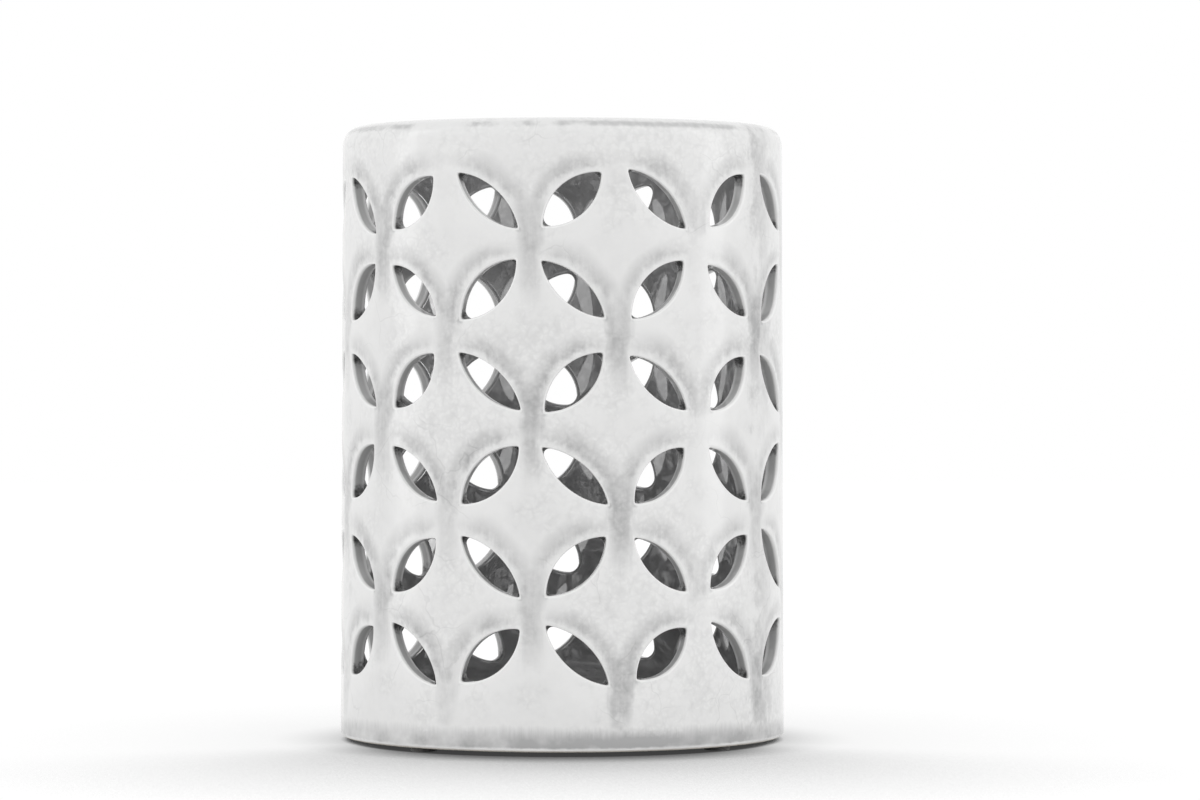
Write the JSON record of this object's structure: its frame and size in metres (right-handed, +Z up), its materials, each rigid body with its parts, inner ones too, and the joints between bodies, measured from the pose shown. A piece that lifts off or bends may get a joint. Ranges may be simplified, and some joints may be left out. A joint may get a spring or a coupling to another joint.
{
  "type": "umbrella stand",
  "caption": "Round glazed ceramic umbrella stand, open at the top, its wall pierced with leaning pointed ovals in an interlocking-petal lattice, resting on felt foot pads.",
  "frame": {"origin": "on the floor plane, at the centre of the circle of pads that the stand rests on, which is the axis of the body", "axes": "+Z up along the axis of the body; a column of cuts is centred on -Y, the side shown to the front"},
  "size_m": [0.276, 0.276, 0.381],
  "materials": {
    "white_glaze": "glossy white glaze with soft grey runs",
    "felt": "matt dark grey pressed felt"
  },
  "bodies": {
    "root": {"vessel": "white_glaze", "foot_pad_1": "felt", "foot_pad_2": "felt", "foot_pad_3": "felt", "foot_pad_4": "felt"}
  },
  "joints": []
}
